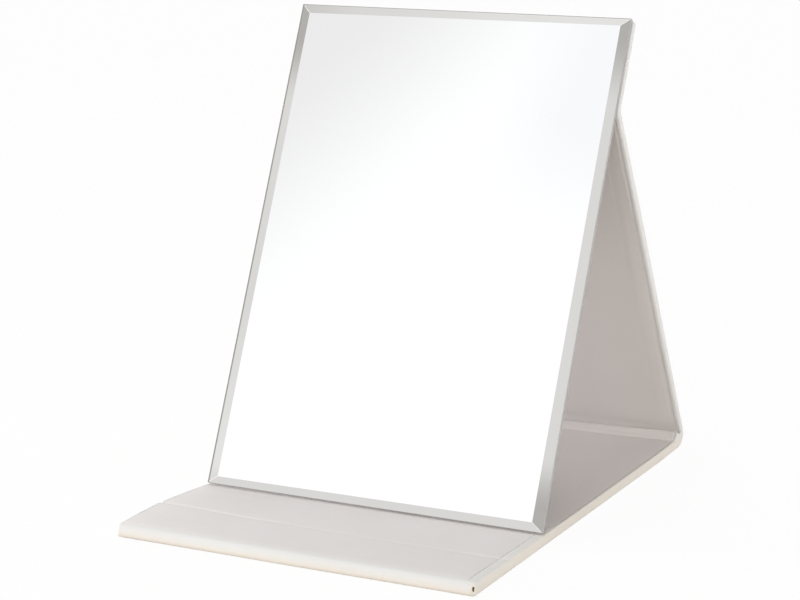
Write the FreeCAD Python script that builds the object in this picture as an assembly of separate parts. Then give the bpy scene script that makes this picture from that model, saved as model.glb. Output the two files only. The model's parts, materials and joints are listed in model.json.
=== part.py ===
import FreeCAD, Part
import math
import os

# Folding vanity mirror. Millimetres and degrees.
# X is the width, the glass faces -Y, the table is z = 0, and the origin is the
# middle of the footprint. The cover is one strip: base, spine, strut and mount,
# joined by three living hinges A, B and C that run along X in its outer skin.
# Every panel is built lying open, outer face down, then folded up about A, B, C.

Vec = FreeCAD.Vector
X_DIR = Vec(1, 0, 0)

# Cover panels, along the strip
COVER_W = 200.0
BASE_L = 314.0  # front edge to hinge A
SPINE_L = 14.0  # hinge A to hinge B, the depth of the closed stack
MOUNT_L = 49.5  # hinge C to the upper edge of the mount
CORNER_R = 2.0  # plan corners
EDGE_R = 1.0  # long edges of a panel
TURN_IN = 3.6  # width of skin folded over onto the inner face

# Sheet thicknesses
SKIN_T = 0.6
BOARD_T = 2.5
SPINE_BOARD_T = 1.2
PAD_T = 2.0
BASE_LINER_T = SKIN_T  # flush with the turned-in skin around it
LINER_T = 0.5
TAPE_T = 0.8
FILM_T = 0.2
SILVER_T = 0.1
GLASS_T = 3.0

# Mirror
GLASS_MARGIN = 0.5  # glass in from each side of the cover
GLASS_H = 279.0
BEVEL_W = 5.0
BEVEL_D = 0.8
COAT_INSET = 0.5  # silver and film short of the glass edge
FOOT_CLEAR = 0.45  # lowest edge of the glass above the base at rest
MOUNT_INSET = 0.5  # mount edge below the upper edge of the glass
TAPE_MARGIN = 5.0  # tape in from the ends of the mount
GLASS_W = COVER_W - 2 * GLASS_MARGIN
TAPE_PITCH = GLASS_W / 3
TAPE_W = GLASS_W / 10

# Nose of the base: rounded front edge
NOSE_L = 9.0
NOSE_LOW_L = 2.2
NOSE_Z = 2.2
NOSE_POINTS = 9

# Rest grooves for the foot of the glass
RECLINED_GROOVE = 45.0  # front edge to the groove in front of the glass
GROOVE_W = 3.2
GROOVE_D = 0.8
BOARD_SPLIT = 2.0  # gap between the base boards under a groove

# Living hinges: how far each layer stops short of the hinge line
AXIS_Z = SKIN_T / 2
SKIN_GAP = 0.6
BASE_END = 3.2
SPINE_END = 1.0
STRUT_END = 1.4
MOUNT_END = 1.0

# Resting angles
SPINE_LEAN = 8.0  # spine past upright, towards the glass
STRUT_LEAN = 32.2  # strut from upright, towards the glass
GLASS_TILT = 23.2  # glass from upright, backwards
FOLD_A = 90.0 + SPINE_LEAN
FOLD_B = STRUT_LEAN - SPINE_LEAN
FOLD_C = -(STRUT_LEAN + GLASS_TILT)

# Panel thicknesses
BASE_T = SKIN_T + BOARD_T + PAD_T + BASE_LINER_T
SPINE_T = SKIN_T + SPINE_BOARD_T + LINER_T
STRUT_T = SKIN_T + BOARD_T + LINER_T
MOUNT_T = STRUT_T
GLASS_BACK = MOUNT_T + TAPE_T + FILM_T + SILVER_T  # glass above the mount's outer face

# The strut is as long as it takes to stand the glass on the base
SIN_SPINE, COS_SPINE = math.sin(math.radians(SPINE_LEAN)), math.cos(math.radians(SPINE_LEAN))
SIN_STRUT, COS_STRUT = math.sin(math.radians(STRUT_LEAN)), math.cos(math.radians(STRUT_LEAN))
SIN_GLASS, COS_GLASS = math.sin(math.radians(GLASS_TILT)), math.cos(math.radians(GLASS_TILT))
GLASS_BELOW_C = GLASS_H - MOUNT_L - MOUNT_INSET
C_Z = BASE_T + FOOT_CLEAR + GLASS_BELOW_C * COS_GLASS - (GLASS_BACK - AXIS_Z) * SIN_GLASS
STRUT_L = (C_Z - AXIS_Z - SPINE_L * COS_SPINE) / COS_STRUT

# Stations along the open strip, centred on the standing footprint
FRONT_Y = -(BASE_L + AXIS_Z * COS_SPINE - SKIN_GAP * SIN_SPINE) / 2
A_Y = FRONT_Y + BASE_L
B_Y = A_Y + SPINE_L
C_Y = B_Y + STRUT_L
MOUNT_TOP_Y = C_Y + MOUNT_L
GLASS_TOP_Y = MOUNT_TOP_Y + MOUNT_INSET

# The second groove lies under the foot of the glass
HINGES_BACK = SPINE_L * SIN_SPINE + STRUT_L * SIN_STRUT
FOOT_Y = A_Y - HINGES_BACK - GLASS_BELOW_C * SIN_GLASS - (GLASS_BACK - AXIS_Z) * COS_GLASS
GROOVES_Y = (FRONT_Y + RECLINED_GROOVE, FOOT_Y)


def slab(y0, y1, z0, z1, width=COVER_W, x_mid=0.0):
    """Box centred on x_mid, from y0 to y1 and z0 to z1."""
    return Part.makeBox(width, y1 - y0, z1 - z0, Vec(x_mid - width / 2, y0, z0))


def across(outline):
    """Solid with an outline in the YZ plane, over the full width of the cover."""
    return Part.Face(outline).extrude(Vec(COVER_W, 0, 0)).translated(Vec(-COVER_W / 2, 0, 0))


def rounded(box, axis, radius, pick=lambda mid: True):
    """Box with its straight edges along one axis rounded, where pick(mid) holds."""
    edges = []
    for edge in box.Edges:
        start, end = (v.Point for v in edge.Vertexes)
        run = end - start
        if abs(run.dot(axis)) > 0.99 * run.Length and pick((start + end) * 0.5):
            edges.append(edge)
    return box.makeFillet(radius, edges)


def envelope(y0, y1, thick, inset, front_closed=False, rear_closed=False):
    """Body of a panel, inset on its faces.

    A closed end is inset as the sides are and has rounded corners in plan. An
    open end keeps its full length.
    """
    width = COVER_W - 2 * inset
    front = y0 + inset if front_closed else y0
    rear = y1 - inset if rear_closed else y1
    body = rounded(slab(front, rear, inset, thick - inset, width), Vec(0, 1, 0), EDGE_R - inset)
    ends = [y for y, closed in ((front, front_closed), (rear, rear_closed)) if closed]
    if not ends:
        return body
    plan = slab(front, rear, 0, thick, width)

    def at_closed_end(mid):
        return min(abs(mid.y - y) for y in ends) < thick

    return body.common(rounded(plan, Vec(0, 0, 1), CORNER_R - inset, at_closed_end))


def quarter(centre_y, centre_z, half_y, half_z, start):
    """Curve over a quarter of an ellipse in the YZ plane, from start degrees down 90."""
    points = []
    for step in range(NOSE_POINTS):
        turn = math.radians(start - 90.0 * step / (NOSE_POINTS - 1))
        points.append(Vec(0, centre_y + half_y * math.cos(turn), centre_z + half_z * math.sin(turn)))
    curve = Part.BSplineCurve()
    curve.interpolate(points)
    return curve.toShape(), points[0], points[-1]


def nose_prism(y1, inset):
    """Everything behind the rounded front edge of the base, inset all round."""
    low, low_start, _ = quarter(
        FRONT_Y + NOSE_LOW_L, NOSE_Z, NOSE_LOW_L - inset, NOSE_Z - inset, 270.0)
    top, _, top_end = quarter(
        FRONT_Y + NOSE_L, NOSE_Z, NOSE_L - inset, BASE_T - NOSE_Z - inset, 180.0)
    rear_low = Vec(0, y1, low_start.z)
    rear_top = Vec(0, y1, top_end.z)
    edges = [
        low,
        top,
        Part.makeLine(top_end, rear_top),
        Part.makeLine(rear_top, rear_low),
        Part.makeLine(rear_low, low_start),
    ]
    return across(Part.Wire(Part.__sortEdges__(edges)))


def base_envelope(inset):
    """Body of the base panel behind its nose."""
    end = A_Y - BASE_END
    return envelope(FRONT_Y, end, BASE_T, inset, front_closed=True).common(nose_prism(end, inset))


def hinge_sheet(y0, y1):
    """Outer skin alone, between a panel and its hinge gap."""
    return slab(y0, y1, 0, SKIN_T)


def wrapped_skin(outer, inner, window, sheets):
    """Skin around a panel: its envelope hollowed, opened on top, with hinge sheets."""
    skin = outer.cut(inner).cut(window)
    for sheet in sheets:
        skin = skin.fuse(sheet)
    return skin.removeSplitter()


def groove_profile(z_top, z_low, y0, y1):
    """Prism between two levels, both dipping into a V at every rest groove."""
    dips = []
    for mid in GROOVES_Y:
        dips += [(mid - GROOVE_W / 2, 0.0), (mid, GROOVE_D), (mid + GROOVE_W / 2, 0.0)]
    upper = [(y0, z_top)] + [(y, z_top - dip) for y, dip in dips] + [(y1, z_top)]
    lower = [(y0, z_low)] + [(y, z_low - dip) for y, dip in dips] + [(y1, z_low)]
    outline = [Vec(0, y, z) for y, z in upper + lower[::-1]]
    return across(Part.makePolygon(outline + outline[:1]))


def base_parts():
    """Skin, three boards, padding and grooved liner of the base."""
    end = A_Y - BASE_END
    inner = base_envelope(SKIN_T)
    liner_from = FRONT_Y + NOSE_L
    liner_w = COVER_W - 2 * TURN_IN
    window = slab(liner_from, end, BASE_T - BASE_LINER_T, BASE_T, liner_w)
    board_top = SKIN_T + BOARD_T
    pad_top = board_top + PAD_T

    cuts = (FRONT_Y, *GROOVES_Y, end)
    names = ("base_front_board", "base_middle_board", "base_rear_board")
    parts = {}
    for index, name in enumerate(names):
        y0 = cuts[index] + (BOARD_SPLIT / 2 if index else 0)
        y1 = cuts[index + 1] - (BOARD_SPLIT / 2 if index < len(names) - 1 else 0)
        parts[name] = inner.common(slab(y0, y1, SKIN_T, board_top))

    grooved = groove_profile(pad_top, board_top - GROOVE_D, FRONT_Y, end)
    above = slab(FRONT_Y, end, board_top, pad_top)
    parts["base_padding"] = inner.common(grooved).common(above)
    liner = groove_profile(BASE_T, BASE_T - BASE_LINER_T, liner_from, end)
    parts["base_liner"] = liner.common(slab(liner_from, end, 0, BASE_T, liner_w))
    sheet = hinge_sheet(end, A_Y - SKIN_GAP)
    parts["base_outer_skin"] = wrapped_skin(base_envelope(0), inner, window, [sheet])
    return parts


def plain_panel(prefix, y0, y1, thick, board_t, skin_y0, skin_y1, closed_end=False):
    """Skin, board and liner of a panel whose skin runs on towards its hinges."""
    outer = envelope(y0, y1, thick, 0, rear_closed=closed_end)
    inner = envelope(y0, y1, thick, SKIN_T, rear_closed=closed_end)
    board_top = SKIN_T + board_t
    liner_w = COVER_W - 2 * TURN_IN
    liner_end = y1 - TURN_IN if closed_end else y1
    window = slab(y0, liner_end, board_top, thick, liner_w)
    sheets = [hinge_sheet(skin_y0, y0)] + ([] if closed_end else [hinge_sheet(y1, skin_y1)])
    return {
        prefix + "_outer_skin": wrapped_skin(outer, inner, window, sheets),
        prefix + "_board": inner.common(slab(y0, y1, SKIN_T, board_top)),
        prefix + "_liner": slab(y0, liner_end, board_top, thick, liner_w),
    }


def bevelled_glass(z0):
    """Mirror glass with a ground bevel around its upper face."""
    y0 = GLASS_TOP_Y - GLASS_H
    rim_z = z0 + GLASS_T - BEVEL_D
    outlines = []
    for inset, level in ((0.0, rim_z), (BEVEL_W, z0 + GLASS_T)):
        half = GLASS_W / 2 - inset
        low, high = y0 + inset, GLASS_TOP_Y - inset
        corners = [Vec(x, y, level) for x, y in ((-half, low), (half, low), (half, high), (-half, high))]
        outlines.append(Part.makePolygon(corners + corners[:1]))
    plate = slab(y0, GLASS_TOP_Y, z0, rim_z, GLASS_W)
    return plate.fuse(Part.makeLoft(outlines, True, True)).removeSplitter()


def mirror_parts():
    """Tape, backing film, silver and glass, stacked on the mount's inner face."""
    parts = {}
    level = MOUNT_T
    for name, x_mid in (("left", -TAPE_PITCH), ("centre", 0.0), ("right", TAPE_PITCH)):
        parts["mount_tape_" + name] = slab(
            C_Y + MOUNT_END + TAPE_MARGIN, MOUNT_TOP_Y - TAPE_MARGIN, level, level + TAPE_T, TAPE_W, x_mid)
    level += TAPE_T
    low, high = GLASS_TOP_Y - GLASS_H + COAT_INSET, GLASS_TOP_Y - COAT_INSET
    for name, thick in (("mirror_backing_film", FILM_T), ("mirror_silver_coat", SILVER_T)):
        parts[name] = slab(low, high, level, level + thick, GLASS_W - 2 * COAT_INSET)
        level += thick
    parts["mirror_glass"] = bevelled_glass(GLASS_BACK)
    return parts


def folded(parts, folds):
    """Parts turned about the hinge lines, the hinge nearest to them first."""
    out = {}
    for name, shape in parts.items():
        turned = shape.copy()
        for y, angle in folds:
            turned.rotate(Vec(0, y, AXIS_Z), X_DIR, angle)
        out[name] = turned
    return out


def build():
    """All parts of the mirror, standing open for use."""
    parts = base_parts()
    spine = plain_panel(
        "spine", A_Y + SPINE_END, B_Y - SPINE_END, SPINE_T, SPINE_BOARD_T, A_Y + SKIN_GAP, B_Y - SKIN_GAP)
    strut = plain_panel(
        "strut", B_Y + STRUT_END, C_Y - STRUT_END, STRUT_T, BOARD_T, B_Y + SKIN_GAP, C_Y - SKIN_GAP)
    mount = plain_panel(
        "mount", C_Y + MOUNT_END, MOUNT_TOP_Y, MOUNT_T, BOARD_T, C_Y + SKIN_GAP, MOUNT_TOP_Y, closed_end=True)
    fold_a, fold_b, fold_c = (A_Y, FOLD_A), (B_Y, FOLD_B), (C_Y, FOLD_C)
    parts.update(folded(spine, [fold_a]))
    parts.update(folded(strut, [fold_b, fold_a]))
    parts.update(folded({**mount, **mirror_parts()}, [fold_c, fold_b, fold_a]))
    return parts


os.makedirs("parts", exist_ok=True)
for node, solid in build().items():
    solid.exportStep("parts/" + node + ".step")
    box = solid.BoundBox
    print(node, len(solid.Solids), solid.isValid(), round(solid.Volume, 1), box)
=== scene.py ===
"""Looks of a folding vanity mirror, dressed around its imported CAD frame.

The cover is one strip of leatherette: base, spine, strut and mount. Its pieces are made lying
open with the outer face down, as the real cover is glued up, and then folded about the three
living hinges. Lengths are in metres, except that the cover and the glass have their sizes in
millimetres.
"""

import json
import logging
import math
from collections.abc import Callable, Iterable, Sequence
from dataclasses import dataclass
from enum import Enum

import bmesh
import bpy
from bpy.types import Material, Node, NodeSocket, NodeTree, Object
from mathutils import Matrix, Vector, noise

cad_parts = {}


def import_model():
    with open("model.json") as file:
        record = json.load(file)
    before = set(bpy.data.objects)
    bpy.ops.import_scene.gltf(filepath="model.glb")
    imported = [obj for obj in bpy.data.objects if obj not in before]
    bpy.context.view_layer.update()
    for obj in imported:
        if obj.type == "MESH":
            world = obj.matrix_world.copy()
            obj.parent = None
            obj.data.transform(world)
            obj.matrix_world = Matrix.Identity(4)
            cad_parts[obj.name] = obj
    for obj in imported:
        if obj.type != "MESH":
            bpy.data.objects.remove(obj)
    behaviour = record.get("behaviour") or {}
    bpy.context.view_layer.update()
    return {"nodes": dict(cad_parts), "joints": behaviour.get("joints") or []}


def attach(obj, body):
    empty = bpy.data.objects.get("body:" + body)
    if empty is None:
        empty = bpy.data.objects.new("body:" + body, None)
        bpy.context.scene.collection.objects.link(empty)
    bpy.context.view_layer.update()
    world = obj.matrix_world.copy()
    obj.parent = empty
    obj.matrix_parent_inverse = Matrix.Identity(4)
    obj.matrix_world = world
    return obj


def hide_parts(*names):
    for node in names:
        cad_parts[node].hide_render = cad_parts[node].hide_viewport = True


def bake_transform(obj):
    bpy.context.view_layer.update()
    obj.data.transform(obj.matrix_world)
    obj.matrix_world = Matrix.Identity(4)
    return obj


LOG = logging.getLogger("vanity_mirror")
MM = 0.001
SMOOTH_ANGLE = math.radians(38.0)
TOP_SHARE = 0.98  # from this share of its thickness up, a vertex lies on a strip's inner face
NEAR = 0.01  # tolerance of a place on a cut, in millimetres
CUT_STEP = 8.0  # distance between the even cuts of a skin, in millimetres
END_RUN = 8.0  # length over which ripples fade out at a panel's end, in millimetres
SHEET_HALF = 0.1  # half the thickness of a plain sheet before it is shaped, in millimetres
WALL_RUN = 0.2  # width of the wall around a recess, in millimetres
SHEET_CUT = 0.45  # distance of the cut beside a sheet's edge, in millimetres
SHEET_LIP = 0.3  # width of a sheet's pressed edge, in millimetres
LIP_DROP = 0.16  # how far that edge is pressed down, in millimetres
FLAT, TILTED = 0.9999, 0.9  # least rise of the normals of a flat face and of a ground bevel
PIT_WAY = Vector((-1.0, 1.0, 0.0))  # way in which the open end of the corner fold is pressed
BMesh = bmesh.types.BMesh
Span = tuple[float, float]
Colour = tuple[float, float, float]
Profile = Sequence[Span]
Shape = Callable[[Vector], Vector]


class Body(Enum):
    """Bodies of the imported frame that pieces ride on."""

    BASE = "base"
    SPINE = "spine"
    STRUT = "strut"
    MIRROR = "mirror"


class Slot(Enum):
    """Material slots of the record; the bent pieces pass one along, but it is not used."""

    LEATHERETTE = "leatherette"
    LINING = "lining"
    GLASS = "glass"


# ---------------------------------------------------------------- folding


@dataclass(frozen=True)
class FoldPlan:
    """Where the hinge lines lie on the open strip, and how far each is folded at rest."""

    hinge_a: float
    hinge_b: float
    hinge_c: float
    axis_z: float
    fold_a: float = 98.0
    fold_b: float = 24.2
    fold_c: float = -55.4

    @classmethod
    def from_joints(cls, joints: list[dict]) -> "FoldPlan":
        """Lays the hinge lines of the frame out along the open strip.

        Args:
            joints: the frame's joints, each with a name and a position in metres.

        Returns:
            The plan, in metres and degrees.
        """
        spots = {j["name"]: Vector(j["pos_m"]) for j in joints}
        a, b, c = (spots[n] for n in ("spine_fold", "strut_fold", "mirror_swing"))
        flat_b = a.y + (b - a).length
        return cls(a.y, flat_b, flat_b + (c - b).length, a.z)

    def folds(self, body: Body) -> list[Span]:
        """Hinge lines between a body and the base, the nearest to the body first.

        Args:
            body: the body.

        Returns:
            Place in metres and angle in degrees of each hinge line.
        """
        chain = [(self.hinge_a, self.fold_a), (self.hinge_b, self.fold_b), (self.hinge_c, self.fold_c)]
        depth = {Body.BASE: 0, Body.SPINE: 1, Body.STRUT: 2, Body.MIRROR: 3}[body]
        return chain[:depth][::-1]

    def fold(self, bm: BMesh, body: Body) -> None:
        """Turns a mesh made lying open up to where its body stands.

        Args:
            bm: the mesh, in the coordinates of the open strip.
            body: the body that it belongs to.
        """
        for y, angle in self.folds(body):
            turn = Matrix.Rotation(math.radians(angle), 3, "X")
            bmesh.ops.rotate(bm, cent=(0, y, self.axis_z), matrix=turn, verts=bm.verts)

    def point(self, body: Body, y: float, z: float) -> Span:
        """A point of the open strip, as (y, z) where its body stands.

        Args:
            body: the body that the point belongs to.
            y: place along the open strip, in metres.
            z: height over the open strip, in metres.

        Returns:
            Its (y, z) place, in metres.
        """
        spot = Vector((0, y, z))
        for line, angle in self.folds(body):
            pivot = Vector((0, line, self.axis_z))
            spot = pivot + Matrix.Rotation(math.radians(angle), 3, "X") @ (spot - pivot)
        return spot.y, spot.z


# ---------------------------------------------------------------- mesh tools


def ease(low: float, high: float, value: float) -> float:
    """Smooth step from 0 at low to 1 at high."""
    t = min(1.0, max(0.0, (value - low) / (high - low)))
    return t * t * (3 - 2 * t)


def along(points: Profile, value: float) -> float:
    """Smooth curve through (position, height) points, level beyond both ends.

    Args:
        points: (position, height) points, in order.
        value: the position.

    Returns:
        The height there.
    """
    if value <= points[0][0]:
        return points[0][1]
    for (p0, h0), (p1, h1) in zip(points, points[1:]):
        if value <= p1:
            return h0 + (h1 - h0) * ease(p0, p1, value)
    return points[-1][1]


def spline(points: Profile, t: float) -> Vector:
    """Point on a smooth curve through a profile.

    Args:
        points: (y, z) points that the curve passes through.
        t: 0 at the first point and 1 at the last, even in steps of points.

    Returns:
        The point, as (0, y, z).
    """
    spot = min(max(t, 0.0), 1.0) * (len(points) - 1)
    i = min(int(spot), len(points) - 2)
    u = spot - i
    p = [Vector((0, *points[min(max(i + k, 0), len(points) - 1)])) for k in (-1, 0, 1, 2)]
    return 0.5 * (
        2 * p[1]
        + (p[2] - p[0]) * u
        + (2 * p[0] - 5 * p[1] + 4 * p[2] - p[3]) * u * u
        + (3 * p[1] - p[0] - 3 * p[2] + p[3]) * u**3
    )


def cut(bm: BMesh, axis: int, places: Iterable[float]) -> None:
    """Divides a mesh with planes across one axis.

    Args:
        bm: the mesh.
        axis: 0, 1 or 2 for X, Y or Z.
        places: where the planes stand on that axis, in metres.
    """
    for place in places:
        spot, normal = Vector(), Vector()
        spot[axis], normal[axis] = place, 1.0
        bmesh.ops.bisect_plane(
            bm, geom=bm.verts[:] + bm.edges[:] + bm.faces[:], dist=1e-7, plane_co=spot, plane_no=normal
        )


def steps(start: float, end: float, size: float) -> list[float]:
    """Places between two ends, about size apart, without the ends."""
    count = max(1, round((end - start) / size))
    return [start + (end - start) * i / count for i in range(1, count)]


def block(width: float, y0: float, y1: float, z0: float, z1: float, x_mid: float = 0.0) -> BMesh:
    """Box across the strip, in metres.

    Args:
        width: size across the strip.
        y0: where it starts.
        y1: where it ends.
        z0: its lowest height.
        z1: its highest height.
        x_mid: its middle across the strip.

    Returns:
        The box's mesh.
    """
    bm = bmesh.new()
    place = Matrix.Translation((x_mid, (y0 + y1) / 2, (z0 + z1) / 2))
    bmesh.ops.create_cube(bm, size=1.0, matrix=place @ Matrix.Diagonal((width, y1 - y0, z1 - z0, 1)))
    return bm


def with_clear(fine: list[float], even: list[float], clear: float) -> list[float]:
    """Fine places, with the even ones that are clear of them all."""
    return fine + [place for place in even if all(abs(place - f) > clear for f in fine)]


def mm(places: Iterable[float]) -> list[float]:
    """Places given in millimetres, in metres."""
    return [place * MM for place in places]


def profile_mm(points: Profile) -> Profile:
    """Profile given in millimetres, in metres."""
    return [(y * MM, z * MM) for y, z in points]


def both_sides(*places: float) -> list[float]:
    """Places to the left and right of the middle."""
    return [side * place for place in places for side in (-1, 1)]


def waver(*spot: float) -> float:
    """Smooth noise at a spot, from about -1 to 1."""
    return noise.noise(Vector(spot))


def bevel(bm: BMesh, edges: list[bmesh.types.BMEdge], width: float, segments: int = 1) -> None:
    """Bevels edges, or rounds them with more than one segment; the width is in metres.

    Args:
        bm: the mesh.
        edges: the edges.
        width: width of the bevel, in metres.
        segments: faces across it.
    """
    bmesh.ops.bevel(
        bm, geom=edges, offset=width, offset_type="OFFSET", segments=segments, profile=0.5,
        affect="EDGES", clamp_overlap=True, material=-1,
    )


def soften(bm: BMesh, axis: int, radius: float, segments: int, pick: Callable[[Vector], bool]) -> None:
    """Rounds the straight edges along one axis.

    Args:
        bm: the mesh.
        axis: the axis that the edges run along.
        radius: radius of the rounding, in metres.
        segments: faces across the rounding.
        pick: tells from an edge's middle whether it is rounded.
    """
    edges = []
    for edge in bm.edges:
        a, b = (v.co for v in edge.verts)
        if abs((b - a)[axis]) > 0.99 * (b - a).length and pick((a + b) / 2):
            edges.append(edge)
    bevel(bm, edges, radius, segments)


def reshape(bm: BMesh, shape: Shape) -> None:
    """Moves every vertex to where shape puts it."""
    for vert in bm.verts:
        vert.co = shape(vert.co)


def finish_mesh(
    bm: BMesh,
    name: str,
    materials: Sequence[Material],
    pick: Callable[[Vector, Vector], int] | None = None,
    merge: float = 1e-6,
    sharp: float = SMOOTH_ANGLE,
) -> Object:
    """Closes a mesh, shades it smooth except at sharp edges, and makes it an object.

    Args:
        bm: the mesh; it is freed.
        name: name of the piece.
        materials: its materials, in slot order.
        pick: slot from a face's middle and normal, or None for the first slot.
        merge: distance under which vertices are one, in metres.
        sharp: edges that turn by more than this stay sharp, in radians.

    Returns:
        The new object, at the origin.
    """
    bmesh.ops.remove_doubles(bm, verts=bm.verts, dist=merge)
    bmesh.ops.dissolve_degenerate(bm, dist=merge, edges=bm.edges)
    bmesh.ops.recalc_face_normals(bm, faces=bm.faces)
    for face in bm.faces:
        face.smooth = True
        if pick is not None:
            face.material_index = pick(face.calc_center_median(), face.normal)
    for edge in bm.edges:
        edge.smooth = len(edge.link_faces) == 2 and edge.calc_face_angle(0.0) < sharp
    mesh = bpy.data.meshes.new(name)
    bm.to_mesh(mesh)
    bm.free()
    piece = bpy.data.objects.new(name, mesh)
    bpy.context.scene.collection.objects.link(piece)
    for material in materials:
        mesh.materials.append(material)
    return piece


def report(piece: Object, rides: str) -> None:
    """Logs what a piece is made of and what it rides on."""
    LOG.info("%s: %d faces, rides on %s", piece.name, len(piece.data.polygons), rides)


def settle(piece: Object, body: Body, node: str) -> Object:
    """Lets a piece ride on a body in place of a CAD node.

    Args:
        piece: the finished piece.
        body: the body that it rides on.
        node: the CAD node that it stands for.

    Returns:
        The piece.
    """
    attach(piece, body.value)
    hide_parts(node)
    report(piece, body.value)
    return piece


# ---------------------------------------------------------------- finishes


class NodeTools:
    """Short ways to add and join the nodes of one tree."""

    def __init__(self, tree: NodeTree) -> None:
        """Keeps the tree."""
        self.tree = tree

    def add(self, kind: str, **values: object) -> Node:
        """Adds a node.

        Args:
            kind: the node's type.
            values: properties of the node, or its sockets by name with _ for spaces.

        Returns:
            The new node.
        """
        node = self.tree.nodes.new(kind)
        for key, value in values.items():
            if hasattr(node, key) and key not in node.inputs:
                setattr(node, key, value)
            else:
                node.inputs[key.replace("_", " ")].default_value = value
        return node

    def join(self, value: object, into: NodeSocket) -> None:
        """Links a socket to an input, or sets the input to a number or a colour.

        Args:
            value: a socket, a number or a colour.
            into: the input.
        """
        if isinstance(value, NodeSocket):
            self.tree.links.new(value, into)
        else:
            into.default_value = (*value, 1.0) if isinstance(value, tuple) else value

    def math(self, operation: str, a: object, b: object = 0.0, clamp: bool = False) -> NodeSocket:
        """Adds a Math node on two sockets or numbers.

        Args:
            operation: what the node does.
            a: first input.
            b: second input.
            clamp: whether the result is kept from 0 to 1.

        Returns:
            Its output.
        """
        node = self.tree.nodes.new("ShaderNodeMath")
        node.operation, node.use_clamp = operation, clamp
        for socket, value in zip(node.inputs, (a, b)):
            self.join(value, socket)
        return node.outputs[0]

    def times(self, a: object, b: object) -> NodeSocket:
        """Product of two sockets or numbers."""
        return self.math("MULTIPLY", a, b)

    def ramp(self, value: NodeSocket, low: float, high: float, smooth: bool = True) -> NodeSocket:
        """Turns a range of values into 0 to 1.

        Args:
            value: the socket to read.
            low: value that gives 0.
            high: value that gives 1.
            smooth: whether the change eases in and out.

        Returns:
            The result's socket.
        """
        node = self.tree.nodes.new("ShaderNodeMapRange")
        node.interpolation_type = "SMOOTHSTEP" if smooth else "LINEAR"
        self.join(value, node.inputs["Value"])
        node.inputs["From Min"].default_value = low
        node.inputs["From Max"].default_value = high
        return node.outputs["Result"]

    def mix(self, share: object, a: object, b: object) -> NodeSocket:
        """Mixes two colours.

        Args:
            share: socket or number, 0 for a and 1 for b.
            a: colour or socket.
            b: colour or socket.

        Returns:
            The mixed colour's socket.
        """
        node = self.tree.nodes.new("ShaderNodeMix")
        node.data_type = "RGBA"
        for index, value in ((0, share), (6, a), (7, b)):
            self.join(value, node.inputs[index])
        return node.outputs[2]

    def mix_shaders(self, share: object, a: NodeSocket, b: NodeSocket) -> NodeSocket:
        """Mixes two shaders, share 0 for a and 1 for b.

        Args:
            share: socket or number, 0 for a and 1 for b.
            a: a shader's socket.
            b: a shader's socket.

        Returns:
            The mixed shader's socket.
        """
        node = self.tree.nodes.new("ShaderNodeMixShader")
        for socket, value in zip(node.inputs, (share, a, b)):
            self.join(value, socket)
        return node.outputs[0]

    def largest(self, *values: NodeSocket) -> NodeSocket:
        """The largest of several sockets.

        Args:
            values: the sockets.

        Returns:
            The result's socket.
        """
        most = values[0]
        for value in values[1:]:
            most = self.math("MAXIMUM", most, value)
        return most

    def axes(self, spot: NodeSocket) -> bpy.types.NodeOutputs:
        """The X, Y and Z outputs of a vector.

        Args:
            spot: the vector's socket.

        Returns:
            The outputs X, Y and Z.
        """
        split = self.tree.nodes.new("ShaderNodeSeparateXYZ")
        self.join(spot, split.inputs[0])
        return split.outputs


def make_group(name: str, ins: dict[str, float], outs: Sequence[str]) -> tuple[NodeTools, Node, Node]:
    """Starts a shader node group that reads a vector.

    Args:
        name: the group's name.
        ins: names of its number inputs with their default values.
        outs: names of its number outputs.

    Returns:
        The group's tools, and its input and output nodes.
    """
    tree = bpy.data.node_groups.new(name, "ShaderNodeTree")
    tree.interface.new_socket(name="Vector", in_out="INPUT", socket_type="NodeSocketVector")
    for key, value in ins.items():
        socket = tree.interface.new_socket(name=key, in_out="INPUT", socket_type="NodeSocketFloat")
        socket.default_value = value
    for key in outs:
        tree.interface.new_socket(name=key, in_out="OUTPUT", socket_type="NodeSocketFloat")
    tools = NodeTools(tree)
    return tools, tools.add("NodeGroupInput"), tools.add("NodeGroupOutput")


def pebble_group() -> NodeTree:
    """Fine pebbled grain of coated cloth, with the soft dents of handling.

    Returns:
        The group.
    """
    t, gin, gout = make_group("pebble_grain", {"Cells": 1100.0, "Dents": 60.0}, ["Height"])
    cells = t.add("ShaderNodeTexVoronoi", feature="SMOOTH_F1")
    cells.inputs["Smoothness"].default_value = 0.6
    dents = t.add("ShaderNodeTexNoise", Detail=3.0)
    for texture, scale in ((cells, "Cells"), (dents, "Dents")):
        t.join(gin.outputs["Vector"], texture.inputs["Vector"])
        t.join(gin.outputs[scale], texture.inputs["Scale"])
    total = t.math("ADD", t.times(cells.outputs["Distance"], 0.5), dents.outputs["Fac"])
    t.join(total, gout.inputs["Height"])
    return t.tree


def mottle_group() -> NodeTree:
    """Soft patches and small specks, for slight changes of colour.

    Returns:
        The group.
    """
    t, gin, gout = make_group("mottle", {"Patches": 18.0, "Specks": 700.0}, ["Patch", "Speck"])
    for scale, out, low, high in (("Patches", "Patch", 0.35, 0.65), ("Specks", "Speck", 0.58, 0.75)):
        texture = t.add("ShaderNodeTexNoise", Detail=4.0)
        t.join(gin.outputs["Vector"], texture.inputs["Vector"])
        t.join(gin.outputs[scale], texture.inputs["Scale"])
        t.join(t.ramp(texture.outputs["Fac"], low, high), gout.inputs[out])
    return t.tree


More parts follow.
